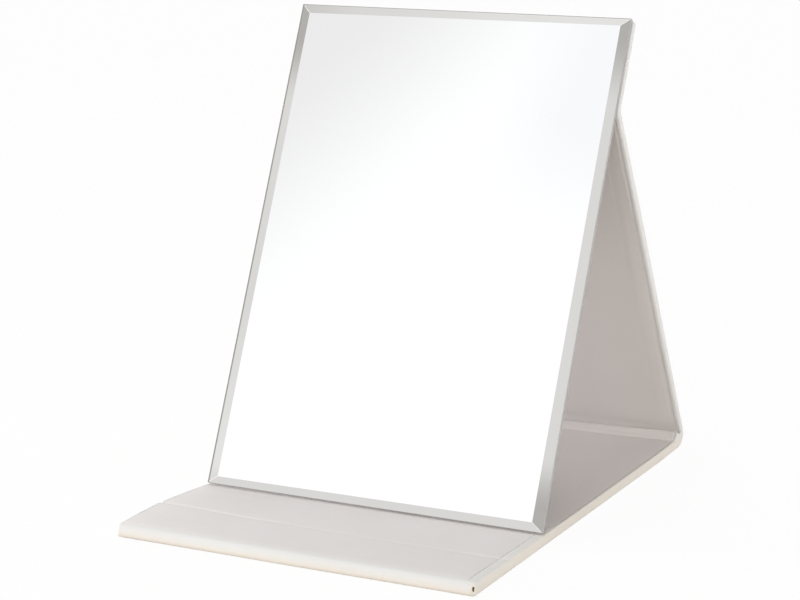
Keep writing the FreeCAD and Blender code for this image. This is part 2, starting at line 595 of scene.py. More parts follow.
class Finish:
    """A material with the nodes that every finish starts from."""

    def __init__(self, name: str) -> None:
        """Makes the empty material.

        Args:
            name: the material's name.
        """
        self.material = bpy.data.materials.new(name)
        self.material.use_nodes = True
        self.material.node_tree.nodes.clear()
        self.t = NodeTools(self.material.node_tree)
        self.out = self.t.add("ShaderNodeOutputMaterial")
        self.shader = self.t.add("ShaderNodeBsdfPrincipled")
        self.t.join(self.shader.outputs[0], self.out.inputs["Surface"])
        self.place = self.t.add("ShaderNodeTexCoord").outputs["Object"]

    def group(self, tree: NodeTree, **values: float) -> Node:
        """Places a node group on the piece's own coordinates.

        Args:
            tree: the group.
            values: values of its inputs.

        Returns:
            The group's node.
        """
        node = self.t.add("ShaderNodeGroup", node_tree=tree)
        self.t.join(self.place, node.inputs["Vector"])
        for key, value in values.items():
            node.inputs[key].default_value = value
        return node

    def stain(self, spots: Node, patch: float, speck: float) -> NodeSocket:
        """Adds up the patches and the specks of a mottle node, each by its share."""
        patches = self.t.times(spots.outputs["Patch"], patch)
        return self.t.math("ADD", patches, self.t.times(spots.outputs["Speck"], speck), clamp=True)

    def paint(self, share: NodeSocket, a: object, b: object) -> None:
        """Colours the shader with a mix of two colours, share 0 for a and 1 for b."""
        self.t.join(self.t.mix(share, a, b), self.shader.inputs["Base Color"])

    def bump(self, height: NodeSocket, depth: float, strength: float = 1.0) -> None:
        """Feeds a height to the shader's normal.

        Args:
            height: the height's socket.
            depth: height of a step from 0 to 1, in metres.
            strength: share of the effect.
        """
        node = self.t.add("ShaderNodeBump", Strength=strength, Distance=depth)
        self.t.join(height, node.inputs["Height"])
        self.t.join(node.outputs[0], self.shader.inputs["Normal"])

    def set(self, **values: object) -> None:
        """Sets or links the shader's own sockets, named with _ for spaces."""
        for key, value in values.items():
            self.t.join(value, self.shader.inputs[key.replace("_", " ")])


@dataclass(frozen=True)
class Leatherette:
    """Coated cloth of the cover's outer skin; heights and places in metres."""

    colour: Colour = (0.83, 0.825, 0.81)
    worn: Colour = (0.80, 0.785, 0.755)
    worn_share: Span = (0.35, 0.12)  # patches and specks
    # Painted warm bounce light: the cover is tinted warmer towards the bottom, and higher up on its
    # right side.
    warm_bounce_tint: Colour = (0.86, 0.805, 0.725)
    warm_bounce_z: Span = (0.0056, 0.0008)
    side_x: Span = (0.0970, 0.0996)
    side_drop: float = 0.0028
    # Painted contact shadow: a brown-grey darkening just above the cover's bottom edge, where it meets
    # the floor.
    contact_shadow: Colour = (0.60, 0.54, 0.46)
    contact_shadow_z: Span = (0.0017, 0.0005)
    contact_shadow_share: float = 0.3
    under_z: Span = (0.00002, 0.0002)
    cell_scale: float = 1100.0
    grain_depth: float = 0.00006
    roughness: Span = (0.46, 0.58)

    def make(self, grain: NodeTree, mottle: NodeTree) -> Material:
        """Builds the material.

        Args:
            grain: the pebble grain group.
            mottle: the mottle group.

        Returns:
            The material.
        """
        f = Finish("leatherette")
        t = f.t
        pebble = f.group(grain, Cells=self.cell_scale, Dents=55.0)
        spots = f.group(mottle, Patches=14.0, Specks=420.0)
        x, _, z = t.axes(f.place)
        skin = t.mix(f.stain(spots, *self.worn_share), self.colour, self.worn)
        # Painted warm bounce light, warmer towards the bottom and further up the right side.
        side = t.times(t.ramp(x, *self.side_x), self.side_drop)
        low = t.ramp(t.math("SUBTRACT", z, side), *self.warm_bounce_z)
        # Painted contact shadow along the bottom edge.
        foot = t.times(t.times(t.ramp(z, *self.contact_shadow_z), self.contact_shadow_share), t.ramp(z, *self.under_z))
        f.paint(foot, t.mix(low, skin, self.warm_bounce_tint), self.contact_shadow)
        gloss = t.times(spots.outputs["Patch"], self.roughness[1] - self.roughness[0])
        f.set(Specular_IOR_Level=0.42, Roughness=t.math("ADD", gloss, self.roughness[0]))
        f.bump(pebble.outputs["Height"], self.grain_depth, 0.55)
        return f.material


@dataclass(frozen=True)
class Lining:
    """Smooth coated paper glued inside the cover; places in metres."""

    colour: Colour = (0.83, 0.80, 0.793)
    patch: Colour = (0.805, 0.775, 0.762)
    patch_share: Span = (0.6, 0.3)  # patches and specks
    nose_y: Span = (-0.1455, -0.1545)
    nose_colour: Colour = (0.86, 0.84, 0.815)
    # Painted shade: the lining is darker towards the right, behind the mirror, where the stand's tent
    # is in shade.
    tent_shade: Colour = (0.755, 0.72, 0.70)
    tent_shade_x: Span = (0.045, 0.097)
    tent_shade_y: Span = (-0.062, -0.03)
    grain_depth: float = 0.00003

    def make(self, grain: NodeTree, mottle: NodeTree) -> Material:
        """Builds the material.

        Args:
            grain: the pebble grain group.
            mottle: the mottle group.

        Returns:
            The material.
        """
        f = Finish("lining")
        t = f.t
        x, y, _ = t.axes(f.place)
        share = f.stain(f.group(mottle, Patches=22.0, Specks=900.0), *self.patch_share)
        # Painted shade inside the stand's tent.
        tent_shade_mask = t.times(t.ramp(x, *self.tent_shade_x), t.ramp(y, *self.tent_shade_y))
        sheet = t.mix(tent_shade_mask, t.mix(share, self.colour, self.patch), self.tent_shade)
        f.paint(t.ramp(y, *self.nose_y), sheet, self.nose_colour)
        fine = f.group(grain, Cells=2200.0, Dents=140.0)
        f.bump(fine.outputs["Height"], self.grain_depth, 0.5)
        f.set(Roughness=0.55, Specular_IOR_Level=0.35)
        return f.material


@dataclass(frozen=True)
class Board:
    """Pressed grey board, foam and other plain sheet stock with a fibrous or porous face."""

    name: str
    colour: Colour
    fleck: Colour
    specks: float
    roughness: float
    depth: float

    def make(self, mottle: NodeTree) -> Material:
        """Builds the material.

        Args:
            mottle: the mottle group.

        Returns:
            The material.
        """
        f = Finish(self.name)
        spots = f.group(mottle, Patches=40.0, Specks=self.specks)
        f.paint(f.stain(spots, 0.5, 0.8), self.colour, self.fleck)
        f.bump(spots.outputs["Speck"], self.depth)
        f.set(Roughness=self.roughness)
        return f.material


@dataclass(frozen=True)
class MattGlass:
    """Matt face of the glass, such as the ground rim, which is faintly green, and the mitre lines,
    which are a painted highlight.
    """

    name: str
    colour: Colour
    chip: Colour

    def make(self, grain: NodeTree, mottle: NodeTree) -> Material:
        """Builds the material.

        Args:
            grain: the pebble grain group, for the marks of the wheel.
            mottle: the mottle group.

        Returns:
            The material.
        """
        f = Finish(self.name)
        f.paint(f.stain(f.group(mottle, Patches=60.0, Specks=1500.0), 0.5, 0.5), self.colour, self.chip)
        wheel = f.group(grain, Cells=4000.0, Dents=900.0)
        f.bump(wheel.outputs["Height"], 0.000006)
        f.set(Roughness=0.5, IOR=1.52, Specular_IOR_Level=0.5)
        return f.material


@dataclass(frozen=True)
class Fade:
    """Stretch of a bevel along which its reflection dims, in metres along one axis."""

    axis: str
    start: float
    end: float
    share: float = 1.0


@dataclass(frozen=True)
class Mirror:
    """Reflecting metal behind glass: its clear colour, and how it dims in patches and along fades."""

    name: str
    clear: Colour
    dim: Colour
    patches: float = 12.0
    patch_share: float = 0.05
    fades: tuple[Fade, ...] = ()

    def make(self, mottle: NodeTree) -> Material:
        """Builds the material.

        Args:
            mottle: the mottle group.

        Returns:
            The material.
        """
        f = Finish(self.name)
        share = f.t.times(f.group(mottle, Patches=self.patches).outputs["Patch"], self.patch_share)
        spot = f.t.axes(f.place)
        for fade in self.fades:
            part = f.t.times(f.t.ramp(spot[fade.axis], fade.start, fade.end), fade.share)
            share = f.t.largest(share, part)
        f.paint(share, self.clear, self.dim)
        f.set(Metallic=1.0, Roughness=0.0)
        return f.material


class PaneFace(Enum):
    """Faces of the glass, in the order of its material slots."""

    FRONT = 0
    LEFT = 1
    RIGHT = 2
    TOP = 3
    FOOT = 4
    MITRE = 5
    RIM = 6
    PAINT = 7
    LINE = 8


SHEET_STOCK = {
    "greyboard": Board("greyboard", (0.36, 0.33, 0.28), (0.24, 0.21, 0.17), 900.0, 0.9, 0.00008),
    "foam": Board("foam", (0.84, 0.84, 0.80), (0.76, 0.76, 0.72), 1500.0, 0.85, 0.0001),
    "tape": Board("tape", (0.85, 0.85, 0.82), (0.78, 0.78, 0.74), 1300.0, 0.7, 0.00006),
    "backing": Board("backing_paint", (0.56, 0.52, 0.49), (0.50, 0.465, 0.44), 600.0, 0.5, 0.00002),
    "raw_fold": Board("raw_fold", (0.28, 0.18, 0.09), (0.16, 0.10, 0.05), 2500.0, 0.9, 0.0001),
}
SILVER = Mirror("silver", (0.955, 0.965, 0.955), (0.935, 0.95, 0.945), 9.0, 0.25)
PANE_FRONT = Mirror("mirror_glass", (0.965, 0.97, 0.967), (0.955, 0.96, 0.957))
# Painted reflection: each bevel's reflection is painted darker along its fades, towards some of its
# ends.
BEVEL_CLEAR, BEVEL_DIM = (0.945, 0.943, 0.935), (0.60, 0.59, 0.575)
BEVEL_FADES = {
    PaneFace.LEFT: (Fade("Z", 0.208, 0.246), Fade("Z", 0.020, 0.008, 0.25)),
    PaneFace.RIGHT: (Fade("Z", 0.215, 0.255), Fade("Z", 0.045, 0.018)),
    PaneFace.TOP: (Fade("X", -0.055, -0.100, 0.40),),
    PaneFace.FOOT: (),
}
MATT_FACES = {
    # Painted highlight: the narrow mitre faces where two bevels meet are a bright matt strip.
    PaneFace.MITRE: MattGlass("mitre_line", (0.90, 0.885, 0.87), (0.85, 0.84, 0.83)),
    PaneFace.RIM: MattGlass("ground_glass", (0.46, 0.46, 0.45), (0.52, 0.52, 0.51)),
    PaneFace.PAINT: MattGlass("edge_paint", (0.34, 0.33, 0.32), (0.40, 0.39, 0.38)),
    PaneFace.LINE: MattGlass("bevel_edge_dark", (0.26, 0.255, 0.245), (0.295, 0.29, 0.28)),
}


@dataclass
class Palette:
    """Every finish of the mirror, made once."""

    leatherette: Material
    lining: Material
    greyboard: Material
    foam: Material
    tape: Material
    silver: Material
    backing: Material
    raw_fold: Material
    pane: dict[PaneFace, Material]

    @classmethod
    def make(cls) -> "Palette":
        """Builds the groups and the finishes.

        Returns:
            The palette.
        """
        grain, mottle = pebble_group(), mottle_group()
        pane = {PaneFace.FRONT: PANE_FRONT.make(mottle)}
        for side, fades in BEVEL_FADES.items():
            bevel_finish = Mirror(f"bevel_{side.name.lower()}", BEVEL_CLEAR, BEVEL_DIM, fades=fades)
            pane[side] = bevel_finish.make(mottle)
        for side, ground in MATT_FACES.items():
            pane[side] = ground.make(grain, mottle)
        return cls(
            leatherette=Leatherette().make(grain, mottle),
            lining=Lining().make(grain, mottle),
            silver=SILVER.make(mottle),
            pane=pane,
            **{name: board.make(mottle) for name, board in SHEET_STOCK.items()},
        )


# ---------------------------------------------------------------- cover


@dataclass(frozen=True)
class EdgeSection:
    """Rounded cross-section that every part of the cover shares, so that neighbours meet."""

    width: float = 200.0
    thick: float = 5.7
    under_r: float = 0.8
    over_r: float = 0.8

    def strip(self, y0: float, y1: float) -> BMesh:
        """Makes a straight strip with rounded sides, outer face down.

        Args:
            y0: where it starts, in metres.
            y1: where it ends, in metres.

        Returns:
            The strip's mesh.
        """
        bm = block(self.width * MM, y0, y1, 0.0, self.thick * MM)
        half = self.thick * MM / 2
        soften(bm, 1, self.under_r * MM, 5, lambda mid: mid.z < half)
        soften(bm, 1, self.over_r * MM, 4, lambda mid: mid.z > half)
        return bm

    def corner(self, x: float, back: float, radius: float) -> float:
        """Pulls a point near a plan corner in to its rounding.

        Args:
            x: place across the strip, in millimetres.
            back: distance from the strip's end, in millimetres.
            radius: radius of the corner, in millimetres.

        Returns:
            The new x, in millimetres.
        """
        inner = self.width / 2 - radius
        if back >= radius or abs(x) <= inner:
            return x
        reach = radius - math.sqrt(max(0.0, radius**2 - (radius - back) ** 2))
        return math.copysign(inner + (abs(x) - inner) * (1 - reach / radius), x)


STAND_EDGE = EdgeSection(over_r=1.7)


@dataclass
class BasePanel:
    """Padded base: wrapped skin with a rounded nose, and the lining on top."""

    section: EdgeSection = EdgeSection()
    front: float = -157.107
    rear: float = 137.0
    corner_r: float = 2.5
    nose_l: float = 3.9
    nose_low_l: float = 1.5
    nose_z: float = 2.2
    nose_cuts: Sequence[float] = (0.1, 0.3, 0.6, 1.0, 1.5, 2.1, 2.8, 3.5, 4.2, 4.9, 5.8, 7.2, 9.0, 12.0)
    flap_line: Profile = ((-158.0, 1.05), (-148.0, 1.0), (-112.0, 0.45), (-72.0, 0.0))
    swell_run: Profile = (
        (-156.0, 0.0), (-150.0, 0.45), (-136.0, 1.15), (-121.0, 1.85), (-111.0, 1.75),
        (-96.0, 1.35), (-80.0, 0.7), (-67.5, 0.1), (-60.0, 0.0),
    )
    swell_side: Profile = ((-100.0, 1.0), (-84.0, 0.8), (-45.0, 0.28), (0.0, 0.06), (40.0, 0.0))
    ripple: float = 0.08
    ripple_size: Span = (34.0, 21.0)  # across and along
    flare_left: float = 1.0
    flare_left_y: Span = (20.0, -140.0)
    flare_right: float = 0.7
    flare_shares: Span = (0.6, 0.8)  # where it starts, left and right
    bulge: float = 1.5
    bulge_y: Span = (-60.0, -150.0)
    lift: float = 0.3
    lift_x: Span = (10.0, -100.0)
    lift_y: Span = (-112.0, -150.0)
    recess_front: float = 4.2
    recess_depth: float = 0.5
    recess_run: float = 3.0
    sheet_front_x: float = 94.6
    sheet_rear_x: float = 98.35
    sheet_left_x: float = 98.5
    trim_left_y: Span = (60.0, 120.0)
    trim_right_y: Span = (-66.0, -40.0)
    sheet_edge: float = 0.7
    sheet_lift: float = 0.03
    edge_drop: float = 0.12
    ragged: Span = (0.45, 0.35)  # coarse and fine
    ragged_most: float = 0.3
    ragged_y: Span = (-50.0, -70.0)
    gap: float = 0.3
    grooves: Span = (-113.6, -65.72)
    groove_half: Span = (2.8, 1.8)  # in front and behind
    groove_depth: Span = (0.62, 0.36)
    groove_wander: float = 0.45
    worn: tuple[float, float, float, float] = (0.25, 0.75, 0.3, 0.3)  # all over, left, right, patchy
    worn_left_x: Span = (-15.0, -70.0)
    worn_right_x: Span = (60.0, 90.0)
    groove_cuts: Sequence[float] = (-2.8, -2.1, -1.4, -0.7, 0.0, 0.6, 1.2, 1.8)
    pit: tuple[float, float, float] = (100.1, -156.35, 3.9)
    pit_push: float = 0.9
    pit_size: Span = (0.7, 1.35)  # across and up
    mouth_size: Span = (0.7, 1.3)  # across and up
    mouth_r: float = 0.85
    pit_mesh_r: float = 3.2

    def level(self, y: float) -> Span:
        """Lower and upper surface of the panel at a distance along it, in millimetres.

        Args:
            y: place along the open strip, in millimetres.

        Returns:
            The two heights.
        """
        low, high = 0.0, self.section.thick + along(self.flap_line, y)
        back = y - self.front
        if back < self.nose_l:
            part = max(0.0, 1 - (1 - back / self.nose_l) ** 2)
            high = self.nose_z + (high - self.nose_z) * math.sqrt(part)
        if back < self.nose_low_l:
            part = max(0.0, 1 - (1 - back / self.nose_low_l) ** 2)
            low = self.nose_z * (1 - math.sqrt(part))
        return low, high

    def swell(self, x: float, y: float) -> float:
        """Extra height of the top: the flap rides up towards its left side.

        Args:
            x: place across the strip, in millimetres.
            y: place along the open strip, in millimetres.

        Returns:
            The height, in millimetres.
        """
        rise = along(self.swell_run, y) * along(self.swell_side, x)
        ripple = self.ripple * waver(x / self.ripple_size[0], y / self.ripple_size[1], 3.1)
        ends = ease(0.0, self.nose_cuts[-1], y - self.front) * ease(self.rear, self.rear - END_RUN, y)
        return rise + ripple * ends

    def groove(self, x: float, y: float) -> float:
        """Depth of the rest grooves at a spot of the top.

        Args:
            x: place across the strip, in millimetres.
            y: place along the open strip, in millimetres.

        Returns:
            The depth, in millimetres.
        """
        depth = 0.0
        overall, left, right, patchy = self.worn
        for index, mid in enumerate(self.grooves):
            off = y - mid - self.groove_wander * waver(x / 45.0, index, 0.7)
            gap = abs(off) / self.groove_half[off > 0]
            if gap < 1:
                worn = overall + left * ease(*self.worn_left_x, x) + right * ease(*self.worn_right_x, x)
                worn += patchy * waver(x / 9.0, 5.0, 0)
                depth += self.groove_depth[index] * (1 - ease(0.0, 1.0, gap)) * worn
        return depth

    def sheet_x(self, x: float, y: float) -> float:
        """Half width of the lining, which is trimmed narrower along the right of the front flap.

        Args:
            x: place across the strip, in millimetres.
            y: place along the open strip, in millimetres.

        Returns:
            The half width, in millimetres.
        """
        front, run = (
            (self.sheet_left_x, self.trim_left_y) if x < 0 else (self.sheet_front_x, self.trim_right_y)
        )
        return front + (self.sheet_rear_x - front) * ease(*run, y)

    def flare(self, x: float, y: float) -> float:
        """How far the padding pushes the cover out sideways, at a spot of the cover.

        Args:
            x: place across the strip, in millimetres.
            y: place along the open strip, in millimetres.

        Returns:
            The way out along X, in millimetres.
        """
        share = abs(x) / (self.section.width / 2)
        left_from, right_from = self.flare_shares
        if x < 0:
            return -self.flare_left * ease(left_from, 1.0, share) * ease(*self.flare_left_y, y)
        return self.flare_right * ease(right_from, 1.0, share) * ease(self.rear, self.rear - 20, y)

    def belly(self, x: float, y: float, share: float) -> float:
        """How far the left side bellies out half way up, at the front flap."""
        side = ease(0.9, 1.0, -x / (self.section.width / 2))
        return -self.bulge * 4 * share * (1 - share) * side * ease(*self.bulge_y, y)

    def shape_cover(self, co: Vector) -> Vector:
        """Where a vertex of the plain strip goes on the finished cover, in metres.

        Args:
            co: the vertex, in metres.

        Returns:
            Its new place.
        """
        x, y, z = co.x / MM, co.y / MM, co.z / MM
        low, high = self.level(y)
        low += self.lift * ease(*self.lift_x, x) * ease(*self.lift_y, y)
        share = z / self.section.thick
        rise = (self.swell(x, y) - self.groove(x, y)) * share
        side = self.belly(x, y, share)
        wall = self.sheet_front_x + self.gap
        behind = y - self.front - self.recess_front
        if share > TOP_SHARE and abs(x) < wall + NEAR and behind > -NEAR:
            rise -= self.recess_depth * ease(-0.02, self.recess_run, behind)
        if wall - NEAR < abs(x) < wall + WALL_RUN + NEAR:
            x += math.copysign(self.sheet_x(x, y) - self.sheet_front_x, x)
        x = self.section.corner(x, y - self.front, self.corner_r)
        return Vector((x + self.flare(x, y) + side, y, low + share * (high - low) + rise)) * MM

    def fine_places(self, start: float) -> list[float]:
        """Places of the cuts that shape the nose and the grooves, in millimetres.

        Args:
            start: cuts of the nose begin past this place.

        Returns:
            The places.
        """
        nose = [self.front + d for d in self.nose_cuts]
        dips = [mid + d for mid in self.grooves for d in self.groove_cuts]
        return [y for y in nose if y > start] + dips

    def cover(self, palette: Palette) -> Object:
        """Builds the wrapped skin around the boards and the padding.

        Args:
            palette: the finishes.

        Returns:
            The piece.
        """
        bm = self.section.strip(self.front * MM, self.rear * MM)
        even = steps(self.front + self.nose_cuts[-1], self.rear, CUT_STEP)
        cut(bm, 1, mm(with_clear(self.fine_places(self.front), even, 1.5)))
        wall = self.sheet_front_x + self.gap
        cut(bm, 0, mm(both_sides(wall, wall + WALL_RUN) + steps(-wall, wall, CUT_STEP)))
        self.pit_mesh(bm)
        reshape(bm, self.shape_cover)
        self.press_pit(bm)
        piece = finish_mesh(bm, "base_cover", [palette.leatherette, palette.raw_fold], self.pit_slot)
        settle(piece, Body.BASE, "base_outer_skin")
        return piece

    def pit_mesh(self, bm: BMesh) -> None:
        """Makes the mesh finer around the open end of the corner fold.

        Args:
            bm: the mesh of the plain strip.
        """
        spot = Vector(self.pit) * MM
        for _ in range(2):
            close = {v for v in bm.verts if (v.co - spot).length < self.pit_mesh_r * MM}
            near = [e for e in bm.edges if close.issuperset(e.verts)]
            bmesh.ops.subdivide_edges(bm, edges=near, cuts=1, use_grid_fill=True)

    def press_pit(self, bm: BMesh) -> None:
        """Presses the open end of the corner fold in.

        Args:
            bm: the mesh of the finished cover.
        """
        spot = Vector(self.pit) * MM
        wide, tall = self.pit_size
        for vert in bm.verts:
            gap = vert.co - spot
            reach = math.hypot(gap.x / wide, gap.y / wide, gap.z / tall) / MM
            if reach < 1.0:
                vert.co += PIT_WAY * self.pit_push * MM * (1 - reach * reach)

    def pit_slot(self, mid: Vector, normal: Vector) -> int:
        """Slot of a face of the cover: the open fold shows its raw inside.

        Args:
            mid: the face's middle, in metres.
            normal: its normal, which makes no difference.

        Returns:
            The slot.
        """
        gap = mid - Vector(self.pit) * MM
        if gap.length > self.pit_mesh_r * MM:
            return 0
        inward = PIT_WAY.normalized()
        gap -= inward * gap.dot(inward)
        wide, tall = self.mouth_size
        return 1 if math.hypot(gap.x / wide, gap.y / wide, gap.z / tall) < self.mouth_r * MM else 0

    def shape_lining(self, co: Vector) -> Vector:
        """Where a vertex of the flat sheet goes on the base, in metres.

        Args:
            co: the vertex, in metres.

        Returns:
            Its new place.
        """
        x, y, upper = co.x / MM, co.y / MM, co.z > 0
        _, high = self.level(y)
        thin = ease(-0.5, self.recess_run, y - self.front - self.recess_front)
        top = high + self.swell(x, y) - self.groove(x, y) + self.sheet_lift
        z = top if upper else top - 0.04 - (self.recess_depth - 0.06) * thin
        if abs(x) > self.sheet_front_x - self.sheet_edge - NEAR:
            if abs(x) > self.sheet_front_x - 0.1:
                ragged = self.ragged[0] * waver(y / 2.6, x / 50.0, 1.3)
                ragged += self.ragged[1] * waver(y / 1.1, 2.2, x)
                z -= self.edge_drop if upper else 0.0
                x += math.copysign(min(ragged, self.ragged_most) * ease(*self.ragged_y, y) - 0.02, x)
            x += math.copysign(self.sheet_x(x, y) - self.sheet_front_x, x)
            x -= self.gap * 0.9 if x < 0 else 0.0
        return Vector((x + self.flare(x, y), y, z)) * MM

    def lining(self, palette: Palette) -> Object:
        """Builds the sheet glued inside the turned-in skin.

        Args:
            palette: the finishes.

        Returns:
            The piece.
        """
        start = self.front + self.recess_front - 0.4
        wide, inner = self.sheet_front_x, self.sheet_front_x - self.sheet_edge
        bm = block(2 * wide * MM, start * MM, self.rear * MM, -SHEET_HALF * MM, SHEET_HALF * MM)
        cut(bm, 1, mm(with_clear(self.fine_places(start + 0.3), steps(start, self.rear, 1.0), 0.4)))
        cut(bm, 0, mm([-inner, inner] + steps(-inner, inner, 9.0)))
        reshape(bm, self.shape_lining)
        piece = finish_mesh(bm, "base_lining", [palette.lining])
        return settle(piece, Body.BASE, "base_liner")


@dataclass
class StandPanel:
    """Wrapped panel of the stand, with the lining let into its inner face."""

    name: str
    body: Body
    y0: float
    y1: float
    thick: float
    skin_node: str
    liner_node: str
    bulge: Profile
    closed_end: bool = False
    with_lining: bool = True
    section: EdgeSection = STAND_EDGE
    corner_r: float = 1.2
    rim: float = 3.6
    end_cuts: Sequence[float] = (0.3, 0.8, 1.4, 2.2, 3.6, 3.85)
    ripples: Span = (0.05, 0.06)  # of the skin and of the lining
    pillow: float = 0.35
    recess_x: float = 97.65
    recess_depth: float = 0.45
    sheet_x: float = 97.3
    turn_in: float = 4.6
    turn_wander: float = 0.6
    turn_rise: float = 0.30
    turn_up: Span = (-0.9, 0.3)
    turn_down: Span = (0.6, 1.7)
    valley: Span = (0.13, 0.52)  # its depth, and what it gains up the panel
    valley_run: Span = (0.35, 0.75)
    valley_down: Span = (-8.6, -6.2)
    valley_up: Span = (-5.9, -0.8)
    ragged: float = 0.10

    def ends(self, y: float) -> float:
        """Fades an effect out towards both ends of the panel."""
        return ease(self.y0, self.y0 + END_RUN, y) * ease(self.y1, self.y1 - END_RUN, y)

    def shape_cover(self, co: Vector) -> Vector:
        """Where a vertex of the plain strip goes on the finished panel, in metres.

        Args:
            co: the vertex, in metres.

        Returns:
            Its new place.
        """
        x, y = co.x / MM, co.y / MM
        share = co.z / MM / self.section.thick
        ripple = self.ripples[0] * waver(x / 40.0, y / 26.0, 8.2) * self.ends(y)
        pillow = 1 - self.pillow * (x / (self.section.width / 2)) ** 4
        z = share * self.thick - (1 - share) * (along(self.bulge, y - self.y0) * pillow + ripple)
        in_recess = abs(x) < self.recess_x + NEAR and not (self.closed_end and y >= self.y1 - self.rim)
        if share > TOP_SHARE and in_recess:
            z -= self.recess_depth
        if self.closed_end:
            x = self.section.corner(x, self.y1 - y, self.corner_r)
        return Vector((x, y, z)) * MM

    def cover(self, plan: FoldPlan, palette: Palette) -> Object:
        """Builds the wrapped skin around the panel's board.

        Args:
            plan: how the cover folds.
            palette: the finishes.

        Returns:
            The piece.
        """
        bm = self.section.strip(self.y0 * MM, self.y1 * MM)
        cuts = steps(self.y0, self.y1, CUT_STEP)
        if self.closed_end:
            end = self.y1 * MM
            soften(bm, 0, self.section.under_r * MM, 4, lambda mid: abs(mid.y - end) < 1e-6)
            cuts = [c for c in cuts if c < self.y1 - 4.5] + [self.y1 - d for d in self.end_cuts]
        cut(bm, 1, mm(cuts))
        even = steps(-self.recess_x, self.recess_x, CUT_STEP)
        cut(bm, 0, mm(both_sides(self.recess_x, self.recess_x + WALL_RUN) + even))
        reshape(bm, self.shape_cover)
        plan.fold(bm, self.body)
        piece = finish_mesh(bm, self.name + "_cover", [palette.leatherette])
        return settle(piece, self.body, self.skin_node)

    def turned_edge(self, x: float, y: float) -> float:
        """Height of the sheet over the turned-in skin's edge, and of the valley beside it.

        Args:
            x: place across the strip, in millimetres.
            y: place along the open strip, in millimetres.

        Returns:
            The height, in millimetres; it is negative in the valley.
        """
        turned = self.section.width / 2 - self.turn_in
        off = abs(x) - turned - self.turn_wander * waver(y / 30.0, 1.0, x)
        low, rise = self.valley
        valley = ease(*self.valley_down, off) - ease(*self.valley_up, off)
        valley *= low + rise * ease(*self.valley_run, (y - self.y0) / (self.y1 - self.y0))
        return self.turn_rise * (ease(*self.turn_up, off) - ease(*self.turn_down, off)) - valley

    def shape_lining(self, co: Vector) -> Vector:
        """Where a vertex of the flat sheet goes on the panel, in metres.

        Args:
            co: the vertex, in metres.

        Returns:
            Its new place.
        """
        x, y, upper = co.x / MM, co.y / MM, co.z > 0
        z = self.thick - self.recess_depth + 0.03
        if upper:
            ripple = max(0.0, self.ripples[1] * waver(x / 36.0, y / 30.0, 4.4))
            z = self.thick + 0.02 + (ripple + self.turned_edge(x, y)) * self.ends(y)
        if abs(x) > self.sheet_x - SHEET_LIP:
            z -= LIP_DROP if upper else 0.0
            x += math.copysign(self.ragged * waver(y / 2.3, x / 50.0, 6.3), x)
        return Vector((x, y, z)) * MM

    def lining(self, plan: FoldPlan, palette: Palette) -> Object:
        """Builds the sheet glued over the turned-in skin.

        Args:
            plan: how the cover folds.
            palette: the finishes.

        Returns:
            The piece.
        """
        bm = block(2 * self.sheet_x * MM, self.y0 * MM, self.y1 * MM, -SHEET_HALF * MM, SHEET_HALF * MM)
        cut(bm, 1, mm(steps(self.y0, self.y1, 2.4)))
        over = self.section.width / 2 - self.turn_in
        near = [self.sheet_x - SHEET_CUT] + [over + 1.8 - 0.5 * i for i in range(7)]
        near += [over - 1.8 - 0.9 * i for i in range(9)]
        cut(bm, 0, mm(both_sides(*near) + steps(10 - over, over - 10, 9.0)))
        reshape(bm, self.shape_lining)
        plan.fold(bm, self.body)
        piece = finish_mesh(bm, self.name + "_lining", [palette.lining])
        return settle(piece, self.body, self.liner_node)


